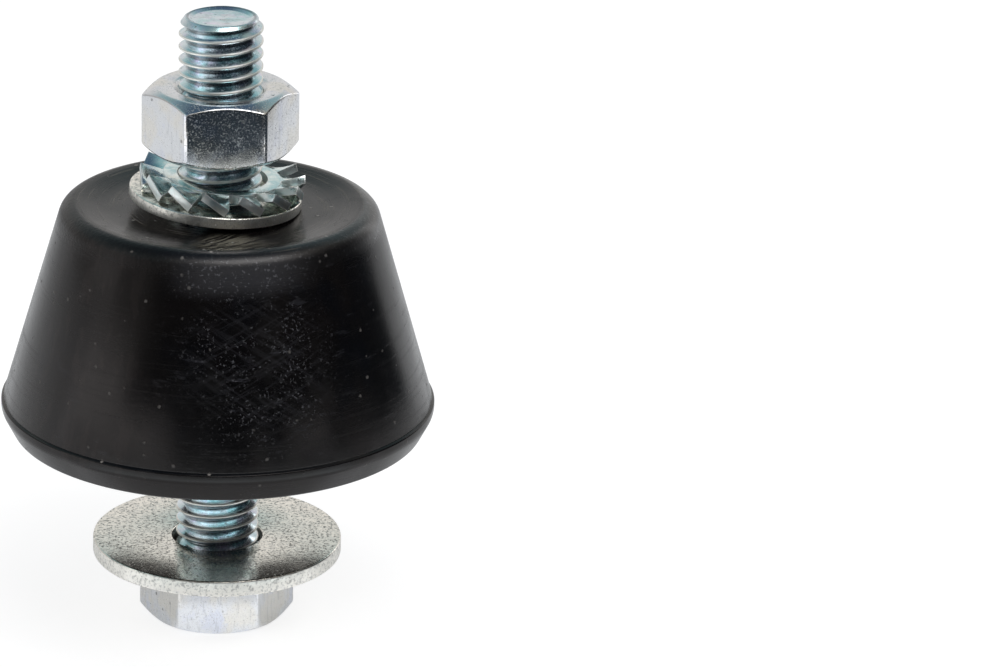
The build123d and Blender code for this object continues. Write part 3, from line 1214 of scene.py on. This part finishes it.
# %% Put the floor together
base = mix(tree, rays["Is Camera Ray"], FLOOR_PALE, FLOOR_SEEN)
base = mix(tree, rays["Is Glossy Ray"], base, FLOOR_MIRRORED)
lift = mix(tree, rays["Is Camera Ray"], BLACK, FLOOR_LIFT)
lift = mix(tree, rays["Is Glossy Ray"], lift, bright)
tree.links.new(mix(tree, dark, base, FLOOR_DARK), shader.inputs["Base Color"])
tree.links.new(mix(tree, dark, lift, BLACK), shader.inputs["Emission Color"])
shader.inputs["Emission Strength"].default_value = 1.0
shader.inputs["Roughness"].default_value = 0.9
shader.inputs["Specular IOR Level"].default_value = 0.0

# %% [markdown]
# ## World
# The world fills the shadows with an even pale light. The camera sees it as plain white. Glossy
# and transmitted rays see the studio: a pale backdrop behind, dimmer at the sides, a teal that
# deepens towards the zenith, and the dark side in front, which reaches further round on the right.

# %% World
PLAIN = (0.6, 0.61, 0.62, 1.0)
BACKDROP = (0.76, 0.75, 0.74, 1.0)
TEAL = (0.27, 0.41, 0.44, 1.0)
ZENITH = (0.055, 0.095, 0.15, 1.0)
FRONT_SKY = (0.44, 0.42, 0.38, 1.0)
DARK_SIDE = (0.014, 0.018, 0.022, 1.0)
world = bpy.data.worlds.new("studio")
bpy.context.scene.world = world
world.use_nodes = True
tree = world.node_tree
parts = split(tree, add(tree, "ShaderNodeTexCoord").outputs["Generated"])
bearing = maths(tree, "ARCTAN2", parts[0], maths(tree, "MULTIPLY", parts[1], -1.0))
behind = fade(tree, maths(tree, "ABSOLUTE", bearing), 1.4, 3.0, 0.35, 1.0)
left = fade(tree, bearing, -0.9, -0.6, 0.55, 0.0)
backdrop = mix(tree, maths(tree, "MAXIMUM", behind, left), BLACK, BACKDROP)
backdrop = mix(tree, fade(tree, parts[2], 0.3, 0.62), backdrop, TEAL)
backdrop = mix(tree, fade(tree, parts[2], 0.62, 0.95), backdrop, ZENITH)
in_front = band(tree, bearing, (-1.0, -0.55), (2.05, 2.3))
sky = product(tree, in_front, fade(tree, parts[2], 0.82, 0.95, 1.0, 0.0))
dark = product(tree, in_front, fade(tree, parts[2], 0.55, 0.76, 1.0, 0.0))
studio = mix(tree, dark, mix(tree, sky, backdrop, FRONT_SKY), DARK_SIDE)
rays = add(tree, "ShaderNodeLightPath").outputs
mirrored = maths(tree, "MAXIMUM", rays["Is Glossy Ray"], rays["Is Transmission Ray"])
seen = mix(tree, mirrored, PLAIN, studio)
seen = mix(tree, rays["Is Camera Ray"], seen, WHITE)
tree.links.new(seen, tree.nodes["Background"].inputs["Color"])
tree.nodes["Background"].inputs["Strength"].default_value = 1.0

# %% [markdown]
# ## Lights
# Three soft boxes: one overhead in front, which draws the highlight on the rubber's shoulder, one
# low on the left, and a narrow one behind on the right, for the streak down the cone's edge.
# Their power is given as the brightness of the box itself, so that it can be set against white.

# %% Lights


def soft_box(name, place, aim, size, brightness):
    """A rectangular lamp at a place in mm, aimed at a point in mm."""
    bpy.ops.object.select_all(action="DESELECT")
    bpy.ops.object.light_add(type="AREA", location=[value * MM for value in place])
    lamp = bpy.context.object
    lamp.name = name
    lamp.data.shape = "RECTANGLE"
    lamp.data.size = size[0] * MM
    lamp.data.size_y = size[1] * MM
    lamp.data.energy = brightness * math.pi * lamp.data.size * lamp.data.size_y
    away = Vector(place) - Vector(aim)
    lamp.rotation_euler = away.to_track_quat("Z", "Y").to_euler()
    print(name, round(lamp.data.energy, 3), "W")


soft_box("lamp_top", place=(110, -190, 380), aim=(0, 0, 35), size=(300, 170), brightness=3.4)
soft_box("lamp_left", place=(-380, -60, 190), aim=(0, 0, 30), size=(160, 280), brightness=0.6)
soft_box("lamp_right", place=(290, 300, 130), aim=(0, 0, 30), size=(60, 250), brightness=1.2)

# %% [markdown]
# ## Camera
# The camera's place, turn and lens come from fitting the washers' and nuts' circles and edges in
# the photograph, so that the render lies over it.

# %% Camera
VIEW_FROM = Vector((0, -494.21, 214.85)) * MM
YAW = 0.0544
PITCH_DOWN = 0.35938
ROLL = 0.02726
LENS = 198.63
SENSOR_WIDTH = 36
bpy.ops.object.select_all(action="DESELECT")
bpy.ops.object.camera_add(location=VIEW_FROM)
camera = bpy.context.object
camera.name = "camera"
look = (Matrix.Rotation(-YAW, 3, "Z") @ Matrix.Rotation(math.pi / 2 - PITCH_DOWN, 3, "X")
        @ Matrix.Rotation(ROLL, 3, "Z"))
camera.rotation_euler = look.to_euler()
camera.data.sensor_width = SENSOR_WIDTH
camera.data.lens = LENS
camera.data.clip_start = 0.01
bpy.context.scene.camera = camera
bpy.context.scene.view_settings.view_transform = "Standard"
